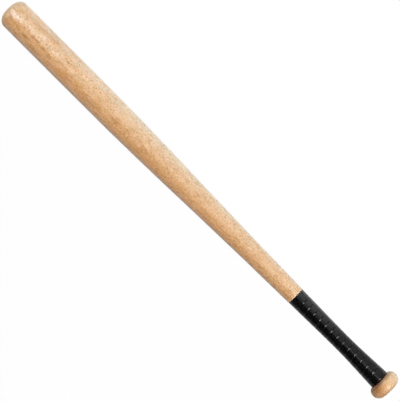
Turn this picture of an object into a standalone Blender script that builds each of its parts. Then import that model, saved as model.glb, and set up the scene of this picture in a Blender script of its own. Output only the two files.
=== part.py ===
"""A wooden baseball bat with a spirally wound grip, lying on its side.

The bat is one turned hardwood billet: barrel, taper, handle and knob. The handle has
a shallow seat between the taper and the knob, and the grip fills it in three layers:
a double-sided adhesive sleeve, a tape wound over it from the band to the knob, and a
finishing tape that closes the winding's upper end.

Metres, +Z up. The axis runs along X, with the barrel's tip at -X and the knob at +X.
The origin is under the middle of the bat, on the surface that it lies on.
"""

import math

import bmesh
import bpy
from mathutils import Vector
from mathutils.geometry import intersect_point_line

# Billet: lengths are measured along the axis from the barrel's tip or from the knob's end
OVERALL_LENGTH = 0.813
BARREL_DIAMETER = 0.0484
BARREL_NARROWING = 0.0008       # how much slimmer the barrel is where its taper begins
BARREL_LENGTH = 0.215
BARREL_TIP_ROUND_LENGTH = 0.0142
BARREL_TIP_ROUND_DEPTH = 0.0163
NECK_DIAMETER = 0.0295          # bare wood where it meets the grip
TAPER_SHAPE = ((0.25, 0.82), (0.50, 0.50), (0.75, 0.21))  # share of its length, share of its fall left

# Knob
KNOB_DIAMETER = 0.0483
KNOB_LENGTH = 0.0216
KNOB_CREST_FROM_END = 0.0117    # its two rounds meet here, at its widest
KNOB_FRONT_ROUND_DEPTH = 0.0076
KNOB_END_ROUND_DEPTH = 0.0110

# Outside of the grip
GRIP_LENGTH = 0.1799            # from the wood's shoulder to the knob's face
GRIP_TOP_DIAMETER = 0.0293
GRIP_WAIST_DIAMETER = 0.0262
GRIP_END_DIAMETER = 0.0318
GRIP_WAIST_FROM_KNOB = 0.0790
BAND_WIDTH = 0.0158             # finishing tape

# Layers of the grip, and the gap that touching layers keep
TAPE_THICKNESS = 0.0009
TAPE_EDGE_DROP = 0.00038        # the tape's edges are thinner than its middle by this
TAPE_EDGE_WIDTH = 0.00075       # and slope over this width
TAPE_TIP_WIDTH = 0.0020         # both ends of the tape are cut off where it is this narrow
UNDERLAY_THICKNESS = 0.0003
UNDERLAY_INSET = 0.0010         # its ends stop this far short of the seat's ends
FIT_GAP = 0.0003
SHOULDER_CHAMFER = 0.0003

# Winding: the first turn's edge leaves the band on the upper side, and x grows with the angle
PITCH_AT_BAND = 0.0118
PITCH_AT_KNOB = 0.0130
TURN_GAP = 0.0005               # between one turn and the next, along the axis
START_ANGLE = math.radians(90.0)
LEAST_TURN_GAP = 0.0004         # the measured gap has to stay over this

# Faces: a flat, not an edge, lies underneath
SEGMENTS = 48
STEPS_PER_TURN = 24
TIP_STEPS = 7
TAPER_STEPS = 20
SEAT_STEPS = 12
KNOB_FRONT_STEPS = 6
KNOB_END_STEPS = 7
SHARP_ANGLE = math.radians(35.0)

# Stations along the axis, counted from the barrel's tip
KNOB_FACE = OVERALL_LENGTH - KNOB_LENGTH
GRIP_TOP = KNOB_FACE - GRIP_LENGTH
BAND_EDGE = GRIP_TOP + BAND_WIDTH
AXIS_HEIGHT = max(BARREL_DIAMETER, KNOB_DIAMETER) / 2 * math.cos(math.pi / SEGMENTS)


def clear_scene():
    for thing in list(bpy.data.objects):
        bpy.data.objects.remove(thing, do_unlink=True)


def new_material(name, colour, roughness):
    material = bpy.data.materials.new(name)
    material.use_nodes = True
    shader = material.node_tree.nodes["Principled BSDF"]
    shader.inputs["Base Color"].default_value = (*colour, 1.0)
    shader.inputs["Roughness"].default_value = roughness
    shader.inputs["Metallic"].default_value = 0.0
    return material


def curve_through(points):
    """A smooth curve through (x, y) points that never overshoots them, as a function of x."""
    xs = [x for x, _ in points]
    ys = [y for _, y in points]
    secants = [(ys[i + 1] - ys[i]) / (xs[i + 1] - xs[i]) for i in range(len(xs) - 1)]
    slopes = [secants[0]]
    for before, after in zip(secants, secants[1:]):
        turning = before * after <= 0.0
        slopes.append(0.0 if turning else 2 * before * after / (before + after))
    slopes.append(secants[-1])

    def height(x):
        x = min(max(x, xs[0]), xs[-1])
        i = 0
        while i < len(xs) - 2 and x > xs[i + 1]:
            i += 1
        span = xs[i + 1] - xs[i]
        u = (x - xs[i]) / span
        rise = ys[i] * (1 - u) ** 2 * (1 + 2 * u) + ys[i + 1] * u ** 2 * (3 - 2 * u)
        return rise + span * (slopes[i] * u * (1 - u) ** 2 - slopes[i + 1] * u ** 2 * (1 - u))

    return height


def wood_curve():
    """Radius of the bare wood, from the barrel's rounded tip to the grip."""
    taper_top = BARREL_DIAMETER - BARREL_NARROWING
    taper_length = GRIP_TOP - BARREL_LENGTH
    points = [(BARREL_TIP_ROUND_LENGTH, BARREL_DIAMETER / 2), (BARREL_LENGTH, taper_top / 2)]
    for along, share in TAPER_SHAPE:
        diameter = NECK_DIAMETER + share * (taper_top - NECK_DIAMETER)
        points.append((BARREL_LENGTH + along * taper_length, diameter / 2))
    points.append((GRIP_TOP, NECK_DIAMETER / 2))
    return curve_through(points)


def grip_curve():
    """Radius of the finished grip, from the wood's shoulder to the knob's face."""
    return curve_through([
        (GRIP_TOP, GRIP_TOP_DIAMETER / 2),
        (KNOB_FACE - GRIP_WAIST_FROM_KNOB, GRIP_WAIST_DIAMETER / 2),
        (KNOB_FACE, GRIP_END_DIAMETER / 2),
    ])


wood_radius = wood_curve()
grip_radius = grip_curve()


def tape_base_radius(x):
    """Underside of the tape and the band, at the corners of their faces."""
    return grip_radius(x) - TAPE_THICKNESS


def underlay_radius(x):
    """Outside of the sleeve. The tape's flat faces come closer to the axis than its corners."""
    return tape_base_radius(x) * math.cos(math.pi / STEPS_PER_TURN) - FIT_GAP


def seat_radius(x):
    return underlay_radius(x) - UNDERLAY_THICKNESS - FIT_GAP


def stations(start, end, steps):
    return [start + (end - start) * i / steps for i in range(steps + 1)]


def quarter_round(x, radius, length, depth, steps, toward_end):
    """Points of a rounded edge: a quarter of an ellipse that ends at the full radius."""
    points = []
    for i in range(steps + 1):
        angle = math.pi / 2 * i / steps
        along = length * (1 - math.cos(angle))
        points.append((along, radius - depth * (1 - math.sin(angle))))
    if toward_end:
        return [(x - along, r) for along, r in reversed(points)]
    return [(x + along, r) for along, r in points]


def billet_outline():
    """(x, radius) from the middle of the barrel's tip to the middle of the knob's end."""
    outline = [(0.0, 0.0)]
    outline += quarter_round(0.0, BARREL_DIAMETER / 2, BARREL_TIP_ROUND_LENGTH,
                             BARREL_TIP_ROUND_DEPTH, TIP_STEPS, toward_end=False)
    middle = (BARREL_TIP_ROUND_LENGTH + BARREL_LENGTH) / 2
    outline.append((middle, wood_radius(middle)))
    shoulder = GRIP_TOP - SHOULDER_CHAMFER
    outline += [(x, wood_radius(x)) for x in stations(BARREL_LENGTH, shoulder, TAPER_STEPS)]
    outline.append((GRIP_TOP, wood_radius(GRIP_TOP) - SHOULDER_CHAMFER))
    outline += [(x, seat_radius(x)) for x in stations(GRIP_TOP, KNOB_FACE, SEAT_STEPS)]
    outline += quarter_round(KNOB_FACE, KNOB_DIAMETER / 2, KNOB_LENGTH - KNOB_CREST_FROM_END,
                             KNOB_FRONT_ROUND_DEPTH, KNOB_FRONT_STEPS, toward_end=False)[:-1]
    outline += quarter_round(OVERALL_LENGTH, KNOB_DIAMETER / 2, KNOB_CREST_FROM_END,
                             KNOB_END_ROUND_DEPTH, KNOB_END_STEPS, toward_end=True)
    outline.append((OVERALL_LENGTH, 0.0))
    return outline


def sleeve_outline(start, end, steps, inner, outer):
    """A closed loop of (x, radius): along the outside and back along the bore."""
    xs = stations(start, end, steps)
    return [(x, outer(x)) for x in xs] + [(x, inner(x)) for x in reversed(xs)]


def band_outline():
    """The finishing tape: its edges slope like those of the wound tape."""
    start = GRIP_TOP + FIT_GAP
    end = BAND_EDGE - TURN_GAP / 2
    return [
        (start, grip_radius(start)),
        (end - TAPE_EDGE_WIDTH, grip_radius(end - TAPE_EDGE_WIDTH)),
        (end, grip_radius(end) - TAPE_EDGE_DROP),
        (end, tape_base_radius(end)),
        (start, tape_base_radius(start)),
    ]


def on_axis_frame(x, radius, angle):
    """A point at a station, a radius and an angle about the bat's axis."""
    return Vector((
        x - OVERALL_LENGTH / 2,
        radius * math.cos(angle),
        AXIS_HEIGHT + radius * math.sin(angle),
    ))


def finish_object(name, mesh, material):
    mesh.materials.append(material)
    mesh.shade_smooth()
    mesh.set_sharp_from_angle(angle=SHARP_ANGLE)
    thing = bpy.data.objects.new(name, mesh)
    bpy.context.scene.collection.objects.link(thing)
    return thing


def turned(name, outline, closed, material):
    """Spins an outline once around the bat's axis."""
    shape = bmesh.new()
    half_step = math.pi / SEGMENTS
    corners = [shape.verts.new(on_axis_frame(x, r, half_step)) for x, r in outline]
    edges = [shape.edges.new(pair) for pair in zip(corners, corners[1:])]
    if closed:
        edges.append(shape.edges.new((corners[-1], corners[0])))
    bmesh.ops.spin(shape, geom=corners + edges, cent=(0.0, 0.0, AXIS_HEIGHT), axis=(1.0, 0.0, 0.0),
                   angle=2 * math.pi, steps=SEGMENTS, use_merge=True)
    bmesh.ops.remove_doubles(shape, verts=shape.verts, dist=1e-7)
    bmesh.ops.recalc_face_normals(shape, faces=shape.faces)
    mesh = bpy.data.meshes.new(name)
    shape.to_mesh(mesh)
    shape.free()
    return finish_object(name, mesh, material)


def turns_in_winding():
    """How many pitches fit between the band and the knob."""
    mean_pitch = (PITCH_AT_BAND + PITCH_AT_KNOB) / 2
    return (KNOB_FACE - BAND_EDGE) / mean_pitch


def seam_station(turn):
    """Where the seam between two turns lies after so many turns from the band."""
    growth = (PITCH_AT_KNOB - PITCH_AT_BAND) / (2 * turns_in_winding())
    return BAND_EDGE + PITCH_AT_BAND * turn + growth * turn ** 2


def tape_edges(turn):
    """The tape's two edges: seam to seam, trimmed to the band and to the knob's face."""
    upper = max(seam_station(turn - 1), BAND_EDGE) + TURN_GAP / 2
    lower = min(seam_station(turn) - TURN_GAP / 2, KNOB_FACE - FIT_GAP)
    return upper, lower


def tape_section(turn):
    """The tape's cross-section: flat underneath, with two sloped edges."""
    upper, lower = tape_edges(turn)
    slope = min(TAPE_EDGE_WIDTH, (lower - upper) / 3)
    return [
        (upper, tape_base_radius(upper)),
        (upper, grip_radius(upper) - TAPE_EDGE_DROP),
        (upper + slope, grip_radius(upper + slope)),
        ((upper + lower) / 2, grip_radius((upper + lower) / 2)),
        (lower - slope, grip_radius(lower - slope)),
        (lower, grip_radius(lower) - TAPE_EDGE_DROP),
        (lower, tape_base_radius(lower)),
    ]


def tape_rings():
    """The cross-sections in order, each placed at its angle, as lists of points."""
    rings = []
    last = math.ceil((turns_in_winding() + 1) * STEPS_PER_TURN)
    for step in range(last + 1):
        turn = step / STEPS_PER_TURN
        upper, lower = tape_edges(turn)
        if lower - upper < TAPE_TIP_WIDTH:
            continue
        angle = START_ANGLE + 2 * math.pi * turn
        rings.append([on_axis_frame(x, r, angle) for x, r in tape_section(turn)])
    return rings


def least_gap_between_turns(rings):
    """The least distance from a turn's lower edge to the upper edge of the turn that follows."""
    least = math.inf
    for i in range(len(rings) - STEPS_PER_TURN - 1):
        for point in rings[i][-2:]:
            for corner in range(2):
                start = rings[i + STEPS_PER_TURN - 1][corner]
                for following in (rings[i + STEPS_PER_TURN][corner], rings[i + STEPS_PER_TURN + 1][corner]):
                    nearest, share = intersect_point_line(point, start, following)
                    if 0.0 <= share <= 1.0:
                        least = min(least, (point - nearest).length)
                    least = min(least, (point - following).length)
                    start = following
    return least


def wound_tape(name, material):
    """One unbroken tape, swept section by section along the handle."""
    rings = tape_rings()
    least = least_gap_between_turns(rings)
    print(f"{name}: {len(rings) / STEPS_PER_TURN:.1f} turns, least gap to itself {least * 1000:.2f} mm")
    if least <= LEAST_TURN_GAP:
        print(f"{name}: the turns are closer than {LEAST_TURN_GAP * 1000:.1f} mm")
    shape = bmesh.new()
    loops = [[shape.verts.new(point) for point in ring] for ring in rings]
    count = len(loops[0])
    for one, two in zip(loops, loops[1:]):
        for i in range(count):
            j = (i + 1) % count
            shape.faces.new((one[i], one[j], two[j], two[i]))
    shape.faces.new(loops[0])
    shape.faces.new(reversed(loops[-1]))
    bmesh.ops.recalc_face_normals(shape, faces=shape.faces)
    mesh = bpy.data.meshes.new(name)
    shape.to_mesh(mesh)
    shape.free()
    return finish_object(name, mesh, material)


def build():
    clear_scene()
    turned("bat_body", billet_outline(), False, new_material("lacquered_beech", (0.72, 0.49, 0.29), 0.35))
    turned("grip_underlay",
           sleeve_outline(GRIP_TOP + UNDERLAY_INSET, KNOB_FACE - UNDERLAY_INSET, SEAT_STEPS,
                          lambda x: seat_radius(x) + FIT_GAP, underlay_radius),
           True, new_material("adhesive_tape", (0.70, 0.67, 0.58), 0.70))
    turned("finishing_tape", band_outline(), True, new_material("finishing_tape", (0.013, 0.013, 0.014), 0.40))
    wound_tape("grip_tape", new_material("grip_tape", (0.011, 0.011, 0.012), 0.48))


build()
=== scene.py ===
"""Looks of a wooden baseball bat with a spirally wound black grip, lying on a pale floor.

The bat lies along X, its barrel at -X, and is seen from straight above, with its +Y side at the upper
right of the picture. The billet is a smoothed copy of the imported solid. The wound tape and the band that
finishes it are modelled finer than their solids, in the same space. The underlay keeps its solid and
only gets a material here. Lengths are in metres, and colours are linear.
"""

import math

import bmesh
import bpy
from mathutils import Matrix, Vector, noise


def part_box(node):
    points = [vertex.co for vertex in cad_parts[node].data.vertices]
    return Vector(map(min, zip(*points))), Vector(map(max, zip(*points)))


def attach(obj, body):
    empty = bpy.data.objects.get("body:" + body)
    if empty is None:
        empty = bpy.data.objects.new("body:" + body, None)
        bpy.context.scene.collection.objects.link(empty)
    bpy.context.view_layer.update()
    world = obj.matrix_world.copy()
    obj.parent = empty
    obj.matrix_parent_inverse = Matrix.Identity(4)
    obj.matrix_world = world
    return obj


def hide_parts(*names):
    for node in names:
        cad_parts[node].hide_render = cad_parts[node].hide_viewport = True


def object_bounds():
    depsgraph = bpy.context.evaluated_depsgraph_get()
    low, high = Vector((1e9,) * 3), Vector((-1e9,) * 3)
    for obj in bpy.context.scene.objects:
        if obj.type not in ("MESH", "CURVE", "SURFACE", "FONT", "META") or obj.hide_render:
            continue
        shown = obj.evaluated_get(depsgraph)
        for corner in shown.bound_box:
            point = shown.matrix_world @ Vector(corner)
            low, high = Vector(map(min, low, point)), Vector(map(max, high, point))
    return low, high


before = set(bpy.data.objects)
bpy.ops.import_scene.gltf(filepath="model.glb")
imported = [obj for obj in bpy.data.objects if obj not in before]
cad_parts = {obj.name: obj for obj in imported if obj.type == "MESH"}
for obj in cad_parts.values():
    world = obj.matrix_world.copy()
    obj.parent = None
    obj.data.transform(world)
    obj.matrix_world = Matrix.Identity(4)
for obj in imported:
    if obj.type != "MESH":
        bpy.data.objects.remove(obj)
cad_low, cad_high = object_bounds()

# The bat in the frame
AXIS_HEIGHT = (cad_low.z + cad_high.z) / 2
AXIS_MIDDLE = Vector((0.0, 0.0, AXIS_HEIGHT))
SLICE_WIDTH = 0.005             # a solid's outline is read in slices this wide

# Winding of the grip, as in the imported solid
PITCH_AT_BAND = 0.0118
PITCH_AT_KNOB = 0.0130
SOLID_TURN_GAP = 0.0005
SOLID_END_GAP = 0.0003
START_ANGLE = math.radians(90.0)

# Finer form of the wound tape
STEPS_PER_TURN = 96
TAPE_THICKNESS = 0.0009
START_WIDTH = 0.00015           # the tape begins this narrow at the band
TIP_WIDTH = 0.0010              # and ends this narrow at the knob
CROWN_STEPS = 6                 # across the tape, between its bevels
SEAM_GAP = 0.00008
SEAM_WANDER = 0.00022           # how far a seam strays from its spiral, as a hand lays it
SEAM_WAVES = ((1.0, 0.9, 3.7), (0.5, 3.1, 9.2))  # share of the wander, waves a turn, place in the noise

# A seam's bevel: its depth, its width, and its rounding in shares of the width along and the depth down
EDGE_DROP = 0.00037
EDGE_WIDTH = 0.00105
EDGE_SHAPE = ((0.0, 1.0), (0.03, 0.88), (0.20, 0.68), (0.40, 0.43), (0.60, 0.20), (0.80, 0.05))

# Finishing band
BAND_SEGMENTS = 144
BAND_LIP = ((0.0, 0.00012), (0.0001, 0.00004))  # points of its upper edge: along, down
BAND_LAP_STEP = 0.00012
BAND_LAP_ANGLE = math.radians(215.0)
BAND_LAP_FADE = 0.5             # radians in which the lap's step levels out

# Corners and smoothness of the meshes
BILLET_CORNER = math.radians(35.0)
TAPE_CORNER = math.radians(50.0)
SAME_POINT = 1e-6               # corners of the solid that are nearer than this are one
FLAT_PAIR = math.radians(5.0)   # two triangles this flat, and this near to a rectangle, become a quad
SQUARE_PAIR = math.radians(60.0)
SUBDIVISIONS = 2

# Where the growth rings bulge: along the bat, degrees round it, (reach along, reach across), strength
FIGURE = (
    (-0.330, 75.0, (0.030, 0.008), 0.0060),
    (-0.362, 62.0, (0.020, 0.007), -0.0040),
    (-0.372, 122.0, (0.045, 0.006), 0.0040),
    (-0.255, 55.0, (0.040, 0.010), 0.0050),
    (-0.122, 84.0, (0.018, 0.012), -0.0040),
    (-0.050, 70.0, (0.050, 0.010), 0.0040),
    (0.060, 110.0, (0.040, 0.010), 0.0040),
)

# Brown marks in the figure, in the same terms, the last two on the knob; those at 29 and 38 degrees on the
# lit rim and the two on the knob are painted shade
STAINS_AND_SHADE = (
    (-0.396, 51.1, (0.0070, 0.0070), 0.42),
    (-0.391, 108.0, (0.0085, 0.0052), 0.36),
    (-0.356, 119.3, (0.0083, 0.0053), 0.95),
    (-0.347, 98.5, (0.0060, 0.0053), 0.90),
    (-0.339, 98.5, (0.0090, 0.0038), 0.85),
    (-0.325, 103.7, (0.0090, 0.0039), 0.90),
    (-0.312, 111.3, (0.0075, 0.0039), 0.95),
    (-0.336, 134.2, (0.0121, 0.0045), 0.60),
    (-0.342, 53.0, (0.0724, 0.0095), 0.56),
    (-0.288, 92.3, (0.0048, 0.0027), 0.70),
    (-0.267, 118.7, (0.0151, 0.0033), 0.60),
    (-0.224, 122.0, (0.0362, 0.0042), 0.50),
    (-0.203, 70.9, (0.0051, 0.0045), 0.60),
    (-0.172, 105.9, (0.0151, 0.0036), 0.45),
    (-0.146, 82.5, (0.0075, 0.0060), 0.30),
    (-0.126, 90.0, (0.0106, 0.0045), 0.40),
    (-0.068, 94.5, (0.0136, 0.0038), 0.35),
    (-0.009, 77.8, (0.0090, 0.0045), 0.45),
    (-0.325, 29.0, (0.1000, 0.0085), 0.40),
    (-0.393, 38.0, (0.0120, 0.0075), 0.35),
    (0.110, 134.0, (0.0600, 0.0060), 0.18),
    (0.391, 122.0, (0.0100, 0.0210), 0.95),
    (0.404, 118.0, (0.0075, 0.0120), 0.75),
)

# Pale patches in it, in the same terms; the first is a painted highlight on the barrel's tip, the third a
# painted sheen along the barrel
PALE_PATCHES_AND_HIGHLIGHTS = (
    (-0.387, 87.0, (0.0270, 0.0084), 0.80),
    (-0.335, 83.0, (0.0620, 0.0090), 0.32),
    (-0.360, 81.1, (0.0422, 0.0039), 0.45),
    (-0.336, 73.7, (0.0136, 0.0075), 0.60),
    (-0.307, 82.9, (0.0106, 0.0060), 0.50),
    (-0.248, 68.8, (0.0136, 0.0060), 0.25),
    (-0.179, 70.9, (0.0136, 0.0075), 0.20),
    (-0.258, 88.0, (0.0300, 0.0060), 0.15),
    (-0.074, 64.0, (0.0360, 0.0080), 0.14),
    (0.100, 60.0, (0.0360, 0.0065), 0.10),
)

# Growth rings: the bat's place and lean in its log, with the pith as the X axis
PLACE_IN_LOG = (0.0, 0.030, 0.052)
LEAN_IN_LOG = (0.0, math.radians(1.5), math.radians(-1.0))
RING_SPACING = 0.0056
RING_WAVE = 0.010               # how far the waver and the curl each push a ring

# Noises in the wood: lumps a metre along X and across it
WAVER = (9.0, 30.0, 30.0)
CURL = (70.0, 105.0, 105.0)
CLOUDS = (45.0, 75.0, 75.0)
HONEY_CLOUDS = (58.0, 105.0, 105.0)
BLUSH_CLOUDS = (80.0, 120.0, 120.0)
MOTTLE = (370.0, 390.0, 390.0)
STREAKS = (60.0, 500.0, 500.0)
CROWDS = (38.0, 60.0, 60.0)     # where the fine marks are many or few
PORES = (900.0, 5200.0, 5200.0)

# Flecks in the wood: cells a metre, a fleck's rim and core in its cell, and the cell's draw, from 0 to 1,
# up to which it has no fleck and from which it has a full one
DOTS = ((235.0, 500.0, 500.0), 0.44, 0.14, 0.40, 0.70)
DASHES = ((170.0, 620.0, 620.0), 0.44, 0.12, 0.45, 0.80)

# Where the wood's looks change, each from one place to the other
KNOB_BLEND = (0.360, 0.370)     # X, under the grip
LIVELY_BLEND = (-0.14, -0.24)   # X, to the barrel's livelier clouds
# The warmer wood toward -Y is painted shade, and the paler wood toward +Y is painted light
SHADED_SIDE_BLEND = (0.010, -0.017)   # Y, to the warmer wood
# A pale painted sheen on the lit +Y side, strongest high on its rim
PAINTED_SHEEN_BLEND = (0.006, 0.021)  # Y
PAINTED_SHEEN_RISE = (-0.018, 0.002)  # Z, it is fainter below the axis
TIP_GREY_BLEND = (-0.386, -0.401)  # X
TIP_COAT_BLEND = (-0.388, -0.397)  # X
TIP_SMOOTH_BLEND = (-0.384, -0.360)  # X

# Colours of the wood: pale wood on the lit side and warm wood on the shaded side, as painted light and
# shade, each dull and bright, and what is laid over them
LIT_SIDE_PALE_WOOD = ((0.668, 0.425, 0.222), (0.720, 0.492, 0.293))
SHADED_SIDE_WARM_WOOD = ((0.738, 0.380, 0.157), (0.808, 0.445, 0.206))
PAINTED_SHEEN = (0.735, 0.615, 0.455)
HONEY = (0.700, 0.430, 0.180)
BLUSH = (0.820, 0.510, 0.310)
LATE_WOOD = (0.560, 0.270, 0.100)
PALE_PATCH_AND_HIGHLIGHT = (0.880, 0.720, 0.580)
STAIN_AND_SHADE = (0.480, 0.230, 0.080)
END_GRAIN = (0.400, 0.240, 0.120)
GREYED_TIP = (0.450, 0.440, 0.380)
# Painted shade on the knob's -Y side and on its front round by the grip
KNOB_PAINTED_SHADE = (0.240, 0.100, 0.042)
# A pale ring on the wood's edge by the band, a painted highlight
SEAT_RIM_HIGHLIGHT = (0.840, 0.660, 0.520)
RED_FADE = 0.66                 # a fine mark takes less red than green and more blue, so that it is brown
BLUE_FADE = 1.60

# Tapes: noises, as in the wood, and colours
TAPE_WEAR = (45.0, 90.0, 90.0)
TAPE_SCUFFS = (420.0, 520.0, 520.0)
TAPE_DARK = (0.00088, 0.00088, 0.00088)
TAPE_BRIGHT = (0.00176, 0.00176, 0.001826)
TAPE_SCUFFED = (0.0088, 0.0088, 0.00902)
WEAVE = (2600.0, 300.0)         # lumps a metre across a thread and along it
CLOTH_STAINS = 60.0
CLOTH_COLOURS = ((0.66, 0.61, 0.50), (0.78, 0.75, 0.66))

# Gloss of the wound tape
SEAM_GLOSS = 0.14
HANDLED_BLEND = (0.225, 0.335)  # X, fading from the band toward the knob
HANDLED_SIDE = (0.001, 0.0045)  # Y, on the lit side only
RUBBED_BLEND = (0.230, 0.360)   # X, growing from the band toward the knob
RUBBED_SIDE = (0.0045, 0.0010)  # distance from the top's line, on both sides

# Camera: straight above the bat, turned so that the bat lies corner to corner
PHOTO_WIDTH = 400
CAMERA_DISTANCE = 2.9           # from the bat's axis
PIXELS_PER_METRE = 663.3        # at the bat's axis
BAT_ANGLE = math.radians(45.02)
VIEW_SHIFT_ALONG = 0.00176      # of the picture's middle from the bat's middle
VIEW_SHIFT_ACROSS = -0.00015
SENSOR_WIDTH = 36.0
FARTHEST_SEEN = 50.0

# Lamps: place, size along and across the bat, radiance, colour
WHITE = (1.0, 1.0, 1.0)
LAMPS = {
    "side_softbox": ((0.0, 4.974, 3.355), (3.1, 6.25), 0.96, (0.98, 1.0, 1.05)),
    "upper_strip": ((0.0, 2.199, 5.583), (3.1, 1.47), 0.60, WHITE),
    "side_fill_knob": ((3.35, 4.30, 2.50), (1.9, 2.6), 0.55, WHITE),
    "side_fill_barrel": ((-3.35, 4.30, 2.50), (1.9, 2.6), 0.55, WHITE),
    "knob_fill": ((3.2, 0.42, 2.6), (3.2, 0.90), 17.0, WHITE),
    "barrel_fill": ((-3.2, 0.42, 2.6), (3.2, 0.90), 11.8, WHITE),
    "low_fill": ((-4.0, -1.3, 1.7), (2.0, 1.6), 3.6, WHITE),
    "top_strip": ((0.0, 0.575, 5.972), (3.1, 1.47), 1.34, WHITE),
    "tip_light": ((-1.15, 0.10, 1.60), (0.55, 0.40), 2.0, WHITE),
}

# Light from the studio's walls and ceiling, and the parts of a direction between which it changes
DIM_WALL_LIGHT = 0.05
WALL_LIGHT = 0.19
CEILING_LIGHT = 0.03
WALL_BLEND = (0.2, 0.8)         # Y, from the dim walls to the one at +Y
CEILING_BLEND = (0.15, 0.50)    # Z

# Floor, each pair of values for its -Y and its +Y side; its -Y side is painted darker as shade, and
# mirrors see more glow on its +Y side, as painted light
FLOOR_REACH = 12.0
FLOOR_BLEND = (-0.10, 0.10)     # Y
FLOOR_GREYS_WITH_PAINTED_SHADE = ((0.44, 0.44, 0.44), (0.92, 0.92, 0.92))
FLOOR_WHITE = 0.98              # the share of plain white in what the camera sees
FLOOR_MIRRORED_PAINTED_LIGHT = (0.1, 0.45)    # how much of that share mirrors see


def curve_through(points):
    """A smooth curve through (x, y) points that never overshoots them, as a function of x."""
    xs = [x for x, _ in points]
    ys = [y for _, y in points]
    secants = [(ys[i + 1] - ys[i]) / (xs[i + 1] - xs[i]) for i in range(len(xs) - 1)]
    slopes = [secants[0]]
    for before, after in zip(secants, secants[1:]):
        slopes.append(0.0 if before * after <= 0.0 else 2 * before * after / (before + after))
    slopes.append(secants[-1])

    def height(x):
        x = min(max(x, xs[0]), xs[-1])
        i = 0
        while i < len(xs) - 2 and x > xs[i + 1]:
            i += 1
        span = xs[i + 1] - xs[i]
        u = (x - xs[i]) / span
        rise = ys[i] * (1 - u) ** 2 * (1 + 2 * u) + ys[i + 1] * u ** 2 * (3 - 2 * u)
        return rise + span * (slopes[i] * u * (1 - u) ** 2 - slopes[i + 1] * u ** 2 * (1 - u))

    return height


def around_axis(x, radius, angle):
    return Vector((x, radius * math.cos(angle), AXIS_HEIGHT + radius * math.sin(angle)))


def distance_from_axis(point):
    return math.hypot(point.y, point.z - AXIS_HEIGHT)


def outer_curve(node):
    """The outside radius of a CAD node along X: its widest corner in each slice."""
    widest = {}
    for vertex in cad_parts[node].data.vertices:
        radius = distance_from_axis(vertex.co)
        key = round(vertex.co.x / SLICE_WIDTH)
        if key not in widest or radius > widest[key][1]:
            widest[key] = (vertex.co.x, radius)
    return curve_through([widest[key] for key in sorted(widest)])


billet_radius = outer_curve("bat_body")


# Materials

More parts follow.
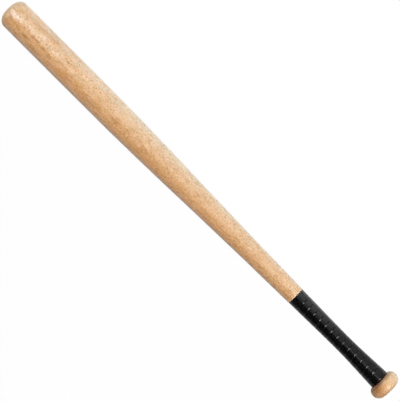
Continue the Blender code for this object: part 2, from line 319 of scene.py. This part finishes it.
class Nodes:
    """Short calls to add and link the nodes of a tree. An input's name has _ for each space."""

    def __init__(self, tree):
        self.tree = tree

    def feed(self, socket, value):
        """Links an input to another node's output, or sets its own value. Colours are opaque."""
        if isinstance(value, bpy.types.NodeSocket):
            self.tree.links.new(value, socket)
        elif socket.type == "RGBA":
            socket.default_value = (*value, 1.0)
        else:
            socket.default_value = value

    def set(self, node, **inputs):
        for name, value in inputs.items():
            name = name.replace("_", " ")
            self.feed(next(s for s in node.inputs if s.name == name and s.enabled), value)

    def add(self, kind, settings=None, **inputs):
        node = self.tree.nodes.new(kind)
        for name, value in (settings or {}).items():
            setattr(node, name, value)
        self.set(node, **inputs)
        return node

    def parts(self, vector):
        """The X, Y and Z of a vector."""
        return list(self.add("ShaderNodeSeparateXYZ", Vector=vector).outputs)

    def math(self, operation, one, two=0.0):
        node = self.add("ShaderNodeMath", {"operation": operation})
        self.feed(node.inputs[0], one)
        self.feed(node.inputs[1], two)
        return node.outputs["Value"]

    def sum(self, one, two):
        return self.math("ADD", one, two)

    def product(self, first, *others):
        return self.math("MULTIPLY", first, self.product(*others)) if others else first

    def rest(self, share):
        """What a share leaves of 1."""
        return self.math("SUBTRACT", 1.0, share)

    def spread(self, value, low, high, to_low=0.0, to_high=1.0):
        """Goes smoothly from to_low to to_high while the value goes from low to high."""
        node = self.add("ShaderNodeMapRange", {"interpolation_type": "SMOOTHSTEP"}, Value=value,
                        From_Min=low, From_Max=high, To_Min=to_low, To_Max=to_high)
        return node.outputs["Result"]

    def blend(self, amount, one, two, mode="MIX"):
        node = self.add("ShaderNodeMix", {"data_type": "RGBA", "blend_type": mode},
                        Factor=amount, A=one, B=two)
        return next(s for s in node.outputs if s.enabled)

    def stretched(self, vector, scale):
        return self.add("ShaderNodeMapping", Vector=vector, Scale=scale).outputs["Vector"]

    def noise(self, vector, scale, detail, roughness=0.5):
        node = self.add("ShaderNodeTexNoise", Vector=vector, Scale=scale, Detail=detail,
                        Roughness=roughness)
        return node.outputs["Fac"]

    def lumps(self, vector, scale, detail, roughness=0.5):
        """Noise with its own number of lumps a metre along each axis."""
        return self.noise(self.stretched(vector, scale), 1.0, detail, roughness)

    def flecks(self, vector, scale, rim, core, none, full):
        """Spots in some of the cells that a scale cuts the space into, each with its own strength."""
        cells = self.add("ShaderNodeTexVoronoi", {"feature": "F1"}, Scale=1.0, Randomness=1.0,
                         Vector=self.stretched(vector, scale))
        draw = self.add("ShaderNodeSeparateColor", Color=cells.outputs["Color"])
        return self.product(self.spread(cells.outputs["Distance"], rim, core),
                            self.spread(draw.outputs["Red"], none, full))

    def near(self, vector, along, turned, reach, strength):
        """A soft spot on the billet's surface: its strength at the middle, nothing past its reach."""
        middle = around_axis(along, billet_radius(along), math.radians(turned)) - AXIS_MIDDLE
        off = self.add("ShaderNodeVectorMath", {"operation": "SUBTRACT"})
        self.feed(off.inputs[0], vector)
        self.feed(off.inputs[1], middle)
        scale = (1.0 / reach[0], 1.0 / reach[1], 1.0 / reach[1])
        length = self.add("ShaderNodeVectorMath", {"operation": "LENGTH"})
        self.feed(length.inputs[0], self.stretched(off.outputs["Vector"], scale))
        return self.spread(length.outputs["Value"], 1.0, 0.0, 0.0, strength)

    def strongest(self, vector, spots):
        """The strongest of some soft spots."""
        peak = 0.0
        for spot in spots:
            peak = self.math("MAXIMUM", peak, self.near(vector, *spot))
        return peak

    def bump(self, height, distance, strength):
        node = self.add("ShaderNodeBump", Height=height, Distance=distance, Strength=strength)
        return node.outputs["Normal"]


class Shading(Nodes):
    """A material with its principled shader."""

    def __init__(self, name):
        self.material = bpy.data.materials.new(name)
        self.material.use_nodes = True
        super().__init__(self.material.node_tree)
        self.shader = self.tree.nodes["Principled BSDF"]
        self.output = self.tree.nodes["Material Output"]

    def position(self):
        """Coordinates about the bat's axis, in metres."""
        coordinates = self.add("ShaderNodeTexCoord")
        shifted = self.add("ShaderNodeMapping", Vector=coordinates.outputs["Object"],
                           Location=(0.0, 0.0, -AXIS_HEIGHT))
        return shifted.outputs["Vector"]


class Wood(Shading):
    """Pale turned beech under a satin lacquer, its grain along X."""

    def __init__(self):
        super().__init__("lacquered_beech")
        self.place = self.position()
        self.x, self.y, self.z = self.parts(self.place)
        self.facing = self.parts(self.add("ShaderNodeTexCoord").outputs["Normal"])[0]
        self.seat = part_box("finishing_tape")[0].x
        self.on_knob = self.spread(self.x, *KNOB_BLEND)
        self.mottle = self.lumps(self.place, MOTTLE, detail=2.0)
        self.dots = self.flecks(self.place, *DOTS)
        self.grow_rings()
        self.coat(self.colour())

    def grow_rings(self):
        """Rings about the pith, wavy and curled along the grain. Late wood is a ring's darker part."""
        log = self.add("ShaderNodeMapping", Vector=self.place, Location=PLACE_IN_LOG, Rotation=LEAN_IN_LOG)
        _, across, up = self.parts(log.outputs["Vector"])
        square = self.sum(self.math("POWER", across, 2.0), self.math("POWER", up, 2.0))
        depth = self.math("POWER", square, 0.5)
        waver = self.lumps(self.place, WAVER, detail=3.0)
        curl = self.lumps(self.place, CURL, detail=1.0)
        for wave in (waver, curl):
            depth = self.sum(depth, self.product(wave, RING_WAVE))
        for spot in FIGURE:
            depth = self.sum(depth, self.near(self.place, *spot))
        ring = self.math("FRACT", self.math("DIVIDE", depth, RING_SPACING))
        self.late_wood = self.product(self.spread(ring, 0.30, 0.90), self.spread(ring, 1.0, 0.90))
        self.ring_line = self.product(self.spread(ring, 0.78, 0.88), self.spread(ring, 1.0, 0.93))

    def fine_marks(self):
        """How bright the fine marks leave the wood. On the knob they are faint, but for its end."""
        crowds = self.lumps(self.place, CROWDS, detail=1.0)
        crowded = self.spread(crowds, 0.40, 0.60, 0.08, 1.0)
        lined = self.spread(crowds, 0.56, 0.42, 0.25, 1.0)
        darkening = (
            (self.late_wood, 0.05),
            (self.product(self.ring_line, lined), 0.20),
            (self.spread(self.lumps(self.place, STREAKS, detail=1.0), 0.35, 0.70), 0.05),
            (self.spread(self.mottle, 0.50, 0.32), 0.21),
            (self.flecks(self.place, *DASHES), 0.40),
            (self.product(self.dots, crowded), 0.70),
            (self.spread(self.mottle, 0.52, 0.70), -0.18),
        )
        shade = 1.0
        for mark, share in darkening:
            shade = self.product(shade, self.rest(self.product(mark, share)))
        plain = self.product(self.on_knob, self.spread(self.facing, 0.85, 0.98, 0.75, 0.0))
        return self.sum(self.product(shade, self.rest(plain)), plain)

    def colour(self):
        """Two woods in soft clouds, painted light on the lit side and painted shade on the shaded side,
        under the figure's hues, a painted sheen, painted highlights and shade, the end grain and the fine
        marks.
        """
        lively = self.spread(self.x, *LIVELY_BLEND, 0.40, 1.0)
        clouds = self.spread(self.lumps(self.place, CLOUDS, detail=2.0), 0.35, 0.65, -0.5, 0.5)
        cloudy = self.sum(0.5, self.product(clouds, lively))
        honey = self.spread(self.lumps(self.place, HONEY_CLOUDS, detail=0.5), 0.42, 0.64, 0.0, 0.42)
        blush = self.spread(self.lumps(self.place, BLUSH_CLOUDS, detail=0.5), 0.42, 0.64, 0.0, 0.48)
        shaded_side = self.spread(self.y, *SHADED_SIDE_BLEND)
        ragged = self.spread(self.mottle, 0.30, 0.55, 0.5, 1.0)
        end_grain = self.spread(self.math("ABSOLUTE", self.facing), 0.30, 0.90)
        knob_front_shade = self.product(self.on_knob, self.spread(self.facing, -0.25, -0.80))
        # The pale ring at the seat's edge is a painted highlight
        seat_rim_highlight = self.product(self.spread(self.x, self.seat - 0.0030, self.seat - 0.0012),
                                self.spread(self.x, self.seat + 0.0006, self.seat + 0.0002))
        layers = (
            # Painted sheen: pale colour on the lit +Y side, fainter below the axis and on the knob
            (self.product(self.spread(self.y, *PAINTED_SHEEN_BLEND, 0.0, 0.92),
                          self.spread(self.z, *PAINTED_SHEEN_RISE, 0.55, 1.0),
                          self.spread(self.on_knob, 0.0, 1.0, 1.0, 0.60)), PAINTED_SHEEN),
            (self.product(honey, lively), HONEY),
            (self.product(blush, lively), BLUSH),
            # Late wood, stronger on the shaded side, partly as painted shade
            (self.product(self.late_wood, self.spread(shaded_side, 0.0, 1.0, 0.08, 0.16)), LATE_WOOD),
            # Pale patches, among them a painted highlight on the tip and a painted sheen along the barrel
            (self.product(self.strongest(self.place, PALE_PATCHES_AND_HIGHLIGHTS), ragged), PALE_PATCH_AND_HIGHLIGHT),
            # Brown marks, some of them painted shade on the lit rim and the knob
            (self.product(self.strongest(self.place, STAINS_AND_SHADE), ragged), STAIN_AND_SHADE),
            # End grain, stronger on the knob, partly as painted shade on its front
            (self.product(end_grain, self.spread(self.on_knob, 0.0, 1.0, 0.52, 0.72)), END_GRAIN),
            (self.spread(self.x, *TIP_GREY_BLEND, 0.0, 0.25), GREYED_TIP),
            # Painted shade on the knob: its lower -Y side, then its front round by the grip
            (self.product(self.on_knob, self.spread(self.y, -0.006, -0.014, 0.0, 0.20)), KNOB_PAINTED_SHADE),
            (self.product(knob_front_shade, self.spread(self.y, 0.006, -0.006, 0.35, 0.95)), KNOB_PAINTED_SHADE),
            (self.product(seat_rim_highlight, 0.45), SEAT_RIM_HIGHLIGHT),
        )
        # Pale wood on the lit side and warm wood on the shaded side: painted light and shade
        colour = self.blend(shaded_side, self.blend(cloudy, *LIT_SIDE_PALE_WOOD), self.blend(cloudy, *SHADED_SIDE_WARM_WOOD))
        for amount, tint in layers:
            colour = self.blend(amount, colour, tint)
        shade = self.fine_marks()
        browned = self.add("ShaderNodeCombineColor", Red=self.math("POWER", shade, RED_FADE), Green=shade,
                           Blue=self.math("POWER", shade, BLUE_FADE))
        return self.blend(1.0, colour, browned.outputs["Color"], "MULTIPLY")

    def coat(self, colour):
        """Satin lacquer over a faint relief. It is thin on the seat, the knob and the barrel's tip."""
        smooth = self.spread(self.on_knob, 0.0, 1.0, 1.0, 0.05)
        pores = self.lumps(self.place, PORES, detail=2.0)
        relief = self.sum(self.product(self.mottle, 0.6), self.product(pores, 0.4))
        relief = self.product(self.math("SUBTRACT", relief, self.product(self.dots, 0.5)), smooth)
        tip_smooth = self.spread(self.x, *TIP_SMOOTH_BLEND, 0.2, 1.0)
        ripple = self.product(self.product(self.mottle, smooth), tip_smooth)
        body = self.spread(self.x, self.seat - 0.0035, self.seat - 0.0015, 1.0, 0.15)
        lacquer = self.product(self.sum(body, self.product(self.on_knob, 0.12)),
                               self.spread(self.x, *TIP_COAT_BLEND, 1.0, 0.30))
        self.set(
            self.shader,
            Base_Color=colour,
            Roughness=self.spread(self.mottle, 0.2, 0.8, 0.40, 0.52),
            Specular_IOR_Level=0.15,
            Normal=self.bump(relief, distance=0.00006, strength=0.4),
            Coat_Weight=lacquer,
            Coat_IOR=1.75,
            Coat_Roughness=0.32,
            Coat_Normal=self.bump(ripple, distance=0.00003, strength=0.3),
        )


def tape_material(name, roughness, pebble):
    """Black synthetic leather with pebbles of a size, glossy on its seams and where hands polished it.

    The mesh's polish is 1 on the bevels of the seams and 0 elsewhere. Hands polished the lit side near
    the band, and a line along the top toward the knob, where the seams interrupt it.
    """
    tape = Shading(name)
    place = tape.position()
    x, y, _ = tape.parts(place)
    worn = tape.lumps(place, TAPE_WEAR, detail=4.0)
    scuffs = tape.lumps(place, TAPE_SCUFFS, detail=2.0, roughness=0.6)
    cells = tape.add("ShaderNodeTexVoronoi", {"feature": "SMOOTH_F1"}, Vector=place, Scale=1.0 / pebble,
                     Smoothness=0.35, Randomness=0.9)
    wrinkles = tape.noise(place, 2.2 / pebble, detail=3.0)
    relief = tape.sum(cells.outputs["Distance"], tape.product(wrinkles, 0.35))
    colour = tape.blend(worn, TAPE_DARK, TAPE_BRIGHT)
    colour = tape.blend(tape.spread(scuffs, 0.48, 0.70), colour, TAPE_SCUFFED)

    polish = tape.add("ShaderNodeAttribute", {"attribute_name": "polish"}).outputs["Fac"]
    handled = tape.product(tape.spread(x, *HANDLED_BLEND, 0.40, 0.0), tape.spread(y, *HANDLED_SIDE))
    rim, core = RUBBED_SIDE
    rubbed = tape.product(tape.spread(x, *RUBBED_BLEND, 0.0, 0.22), tape.spread(y, -rim, -core),
                          tape.spread(y, rim, core))
    gloss = tape.sum(tape.math("MAXIMUM", tape.product(polish, SEAM_GLOSS), handled),
                     tape.product(rubbed, tape.rest(polish)))
    tape.set(
        tape.shader,
        Base_Color=colour,
        Roughness=tape.sum(tape.spread(worn, 0.25, 0.8, roughness - 0.05, roughness + 0.05),
                           tape.spread(scuffs, 0.3, 0.7, -0.05, 0.06)),
        Specular_IOR_Level=0.28,
        Normal=tape.bump(relief, distance=pebble * 0.10, strength=0.6),
        Coat_Weight=gloss,
        Coat_IOR=1.7,
        Coat_Roughness=0.20,
        Coat_Normal=tape.bump(relief, distance=pebble * 0.06, strength=0.5),
    )
    return tape.material


def underlay_material():
    """Off-white double-sided cloth tape, with a plain weave."""
    cloth = Shading("adhesive_cloth")
    place = cloth.position()
    across, along = WEAVE
    threads = cloth.sum(cloth.lumps(place, (across, along, along), detail=1.0),
                        cloth.lumps(place, (along, across, across), detail=1.0))
    stains = cloth.noise(place, CLOTH_STAINS, detail=3.0)
    cloth.set(
        cloth.shader,
        Base_Color=cloth.blend(stains, *CLOTH_COLOURS),
        Roughness=cloth.spread(threads, 0.6, 1.4, 0.62, 0.82),
        Normal=cloth.bump(threads, distance=0.00008, strength=0.6),
    )
    return cloth.material


def floor_material():
    """Matt pale floor. The camera and mirrors see it whiter than it is lit, and its shadows stay."""
    floor = Shading("pale_floor")
    _, y, _ = floor.parts(floor.add("ShaderNodeTexCoord").outputs["Object"])
    # The -Y half is painted darker, as painted shade, and mirrors see more glow on the +Y half, as painted
    # light
    side = floor.spread(y, *FLOOR_BLEND)
    colour = floor.blend(side, *FLOOR_GREYS_WITH_PAINTED_SHADE)
    floor.set(floor.shader, Base_Color=colour, Roughness=0.9, Specular_IOR_Level=0.1)
    rays = floor.add("ShaderNodeLightPath").outputs
    mirrored = floor.product(floor.math("MAXIMUM", rays["Is Glossy Ray"], rays["Is Transmission Ray"]),
                             floor.spread(side, 0.0, 1.0, *FLOOR_MIRRORED_PAINTED_LIGHT))
    seen = floor.math("MAXIMUM", rays["Is Camera Ray"], mirrored)
    glow = floor.add("ShaderNodeEmission", Color=WHITE, Strength=1.0)
    mixed = floor.add("ShaderNodeMixShader", Fac=floor.product(seen, FLOOR_WHITE))
    floor.feed(mixed.inputs[1], floor.shader.outputs["BSDF"])
    floor.feed(mixed.inputs[2], glow.outputs["Emission"])
    floor.feed(floor.output.inputs["Surface"], mixed.outputs["Shader"])
    return floor.material


# Shapes

def new_piece(name, mesh, material, node):
    mesh.materials.append(material)
    piece = bpy.data.objects.new(name, mesh)
    bpy.context.scene.collection.objects.link(piece)
    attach(piece, "root")
    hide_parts(node)
    return piece


def smoothed_copy(name, node, material):
    """The CAD node's mesh as quads, subdivided, with its corners kept."""
    shape = bmesh.new()
    shape.from_mesh(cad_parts[node].data)
    bmesh.ops.remove_doubles(shape, verts=shape.verts, dist=SAME_POINT)
    bmesh.ops.join_triangles(shape, faces=shape.faces, angle_face_threshold=FLAT_PAIR,
                             angle_shape_threshold=SQUARE_PAIR)
    crease = shape.edges.layers.float.new("crease_edge")
    for edge in shape.edges:
        if len(edge.link_faces) == 2 and edge.calc_face_angle() > BILLET_CORNER:
            edge[crease] = 1.0
    mesh = bpy.data.meshes.new(name)
    shape.to_mesh(mesh)
    shape.free()
    mesh.shade_smooth()
    mesh.set_sharp_from_angle(angle=BILLET_CORNER)
    piece = new_piece(name, mesh, material, node)
    subdivision = piece.modifiers.new("smoothing", "SUBSURF")
    subdivision.levels = SUBDIVISIONS
    subdivision.render_levels = SUBDIVISIONS


def finish_tape(mesh):
    """Turns its faces outward and shades them smooth, with its corners kept."""
    shape = bmesh.new()
    shape.from_mesh(mesh)
    bmesh.ops.recalc_face_normals(shape, faces=shape.faces)
    shape.to_mesh(mesh)
    shape.free()
    mesh.shade_smooth()
    mesh.set_sharp_from_angle(angle=TAPE_CORNER)


def bevelled_edges(upper, lower, radius):
    """(x, radius) over a tape from its upper to its lower edge, both pared down to a rounded bevel."""
    width = min(EDGE_WIDTH, (lower - upper) / 3)
    edge = [(width * along, EDGE_DROP * down) for along, down in EDGE_SHAPE]
    outline = [(upper + along, radius(upper + along) - drop) for along, drop in edge]
    for i in range(CROWN_STEPS + 1):
        x = upper + width + (lower - upper - 2 * width) * i / CROWN_STEPS
        outline.append((x, radius(x)))
    outline += [(lower - along, radius(lower - along) - drop) for along, drop in reversed(edge)]
    return outline


class Winding:
    """The wound tape's course: one unbroken right-handed strip from the band to the knob."""

    def __init__(self):
        self.band_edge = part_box("finishing_tape")[1].x + SOLID_TURN_GAP / 2
        self.knob_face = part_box("grip_tape")[1].x + SOLID_END_GAP
        self.radius = outer_curve("grip_tape")
        self.turns = (self.knob_face - self.band_edge) / ((PITCH_AT_BAND + PITCH_AT_KNOB) / 2)
        self.growth = (PITCH_AT_KNOB - PITCH_AT_BAND) / (2 * self.turns)

    def wander(self, turn):
        """How far the seam strays after so many turns from the band."""
        if turn <= 0:
            return 0.0
        return sum(SEAM_WANDER * share * noise.noise(Vector((turn * waves, place, 0.0)))
                   for share, waves, place in SEAM_WAVES)

    def seam(self, turn):
        """Where the seam lies after so many turns."""
        return self.band_edge + PITCH_AT_BAND * turn + self.growth * turn ** 2 + self.wander(turn)

    def edges(self, turn):
        upper = max(self.seam(turn - 1), self.band_edge) + SEAM_GAP / 2
        lower = max(self.seam(turn) - SEAM_GAP / 2, upper + START_WIDTH)
        return upper, min(lower, self.knob_face - SOLID_END_GAP)

    def section(self, turn):
        """The tape's cross-section: its two corners on the handle, then the points over it."""
        upper, lower = self.edges(turn)
        base = [(x, self.radius(x) - TAPE_THICKNESS) for x in (lower, upper)]
        return base + bevelled_edges(upper, lower, self.radius)


def wound_tape(material):
    """One unbroken tape, swept section by section along the handle."""
    winding = Winding()
    points, faces = [], []
    loops = 0
    for step in range(math.ceil((winding.turns + 1) * STEPS_PER_TURN) + 1):
        turn = step / STEPS_PER_TURN
        upper, lower = winding.edges(turn)
        if turn > 1 and lower - upper < TIP_WIDTH:
            break
        angle = START_ANGLE + 2 * math.pi * turn
        section = winding.section(turn)
        points += [around_axis(x, radius, angle) for x, radius in section]
        loops += 1
    count = len(section)
    for loop in range(loops - 1):
        for i in range(count):
            a, b = loop * count + i, loop * count + (i + 1) % count
            faces.append((a, b, b + count, a + count))
    faces.append(tuple(reversed(range(count))))
    faces.append(tuple(range((loops - 1) * count, loops * count)))
    mesh = bpy.data.meshes.new("wound_tape")
    mesh.from_pydata(points, [], faces)
    mesh.validate()

    # The bevels are polished, but not the edges themselves. A section's first two points are its base.
    polish = mesh.attributes.new("polish", "FLOAT", "POINT")
    bevels = {*range(3, 2 + len(EDGE_SHAPE)), *range(count - len(EDGE_SHAPE), count - 1)}
    for index in range(len(points)):
        polish.data[index].value = 1.0 if index % count in bevels else 0.0
    finish_tape(mesh)
    new_piece("wound_tape", mesh, material, "grip_tape")


def finishing_band(material):
    """A short tape once round the grip's upper end, lapped on itself at the side."""
    low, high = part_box("finishing_tape")
    grip = outer_curve("grip_tape")
    top_radius = (high - low).y / 2
    end = high.x + SOLID_TURN_GAP / 2 - SEAM_GAP / 2

    def radius(x):
        share = (x - low.x) / (end - low.x)
        return top_radius + share * (grip(end) - top_radius)

    base = [(x, radius(x) - TAPE_THICKNESS) for x in (end, low.x)]
    lip = [(low.x + along, radius(low.x) - down) for along, down in BAND_LIP]
    outline = base + lip + bevelled_edges(low.x, end, radius)[len(EDGE_SHAPE):]
    points, faces = [], []
    count = len(outline)
    for segment in range(BAND_SEGMENTS):
        angle = 2 * math.pi * segment / BAND_SEGMENTS
        past_lap = (angle - BAND_LAP_ANGLE) % (2 * math.pi)
        lift = BAND_LAP_STEP * max(0.0, 1 - past_lap / BAND_LAP_FADE) if past_lap > 0 else 0.0
        for i, (x, r) in enumerate(outline):
            points.append(around_axis(x, r if i < len(base) else r - BAND_LAP_STEP + lift, angle))
    for segment in range(BAND_SEGMENTS):
        here, following = segment * count, (segment + 1) % BAND_SEGMENTS * count
        for i in range(count):
            j = (i + 1) % count
            faces.append((here + i, here + j, following + j, following + i))
    mesh = bpy.data.meshes.new("finishing_band")
    mesh.from_pydata(points, [], faces)
    finish_tape(mesh)
    new_piece("finishing_band", mesh, material, "finishing_tape")


# Stage

def make_camera():
    lens = bpy.data.cameras.new("camera")
    lens.sensor_fit = "HORIZONTAL"
    lens.sensor_width = SENSOR_WIDTH
    lens.lens = SENSOR_WIDTH * PIXELS_PER_METRE * CAMERA_DISTANCE / PHOTO_WIDTH
    lens.clip_end = FARTHEST_SEEN
    camera = bpy.data.objects.new("camera", lens)
    bpy.context.scene.collection.objects.link(camera)
    camera.location = (VIEW_SHIFT_ALONG, VIEW_SHIFT_ACROSS, AXIS_HEIGHT + CAMERA_DISTANCE)
    camera.rotation_euler = (0.0, 0.0, BAT_ANGLE)
    bpy.context.scene.camera = camera


def area_lamp(name, place, size, radiance, colour):
    """A soft rectangular lamp that faces the bat's middle, its first size along the bat."""
    data = bpy.data.lights.new(name, "AREA")
    data.shape = "RECTANGLE"
    data.size, data.size_y = size
    data.energy = radiance * math.pi * size[0] * size[1]
    data.color = colour
    lamp = bpy.data.objects.new(name, data)
    bpy.context.scene.collection.objects.link(lamp)
    out = Vector(place).normalized()
    across = out.cross(Vector((1.0, 0.0, 0.0))).normalized()
    along = across.cross(out)
    lamp.matrix_world = Matrix.Translation(place) @ Matrix((along, across, out)).transposed().to_4x4()


def make_world():
    """White for the camera. Otherwise pale walls near the horizon and a dark ceiling."""
    world = bpy.data.worlds.new("studio")
    world.use_nodes = True
    sky = Nodes(world.node_tree)
    _, y, z = sky.parts(sky.add("ShaderNodeTexCoord").outputs["Generated"])
    walls = sky.spread(y, *WALL_BLEND, DIM_WALL_LIGHT, WALL_LIGHT)
    light = sky.spread(z, *CEILING_BLEND, walls, CEILING_LIGHT)
    seen = sky.add("ShaderNodeLightPath").outputs["Is Camera Ray"]
    strength = sky.add("ShaderNodeMix", Factor=seen, A=light, B=1.0).outputs["Result"]
    sky.set(sky.tree.nodes["Background"], Color=WHITE, Strength=strength)
    bpy.context.scene.world = world


def make_floor():
    near, far = -FLOOR_REACH, FLOOR_REACH
    mesh = bpy.data.meshes.new("floor")
    mesh.from_pydata([(near, near, 0), (far, near, 0), (far, far, 0), (near, far, 0)], [], [(0, 1, 2, 3)])
    mesh.materials.append(floor_material())
    floor = bpy.data.objects.new("floor", mesh)
    bpy.context.scene.collection.objects.link(floor)


def build():
    make_camera()
    make_world()
    make_floor()
    for name, (place, size, radiance, colour) in LAMPS.items():
        area_lamp(name, place, size, radiance, colour)
    smoothed_copy("turned_billet", "bat_body", Wood().material)
    wound_tape(tape_material("grip_leather", roughness=0.22, pebble=0.0007))
    finishing_band(tape_material("band_vinyl", roughness=0.25, pebble=0.0005))
    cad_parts["grip_underlay"].material_slots[0].material = underlay_material()
    bpy.context.scene.view_settings.view_transform = "Standard"


build()
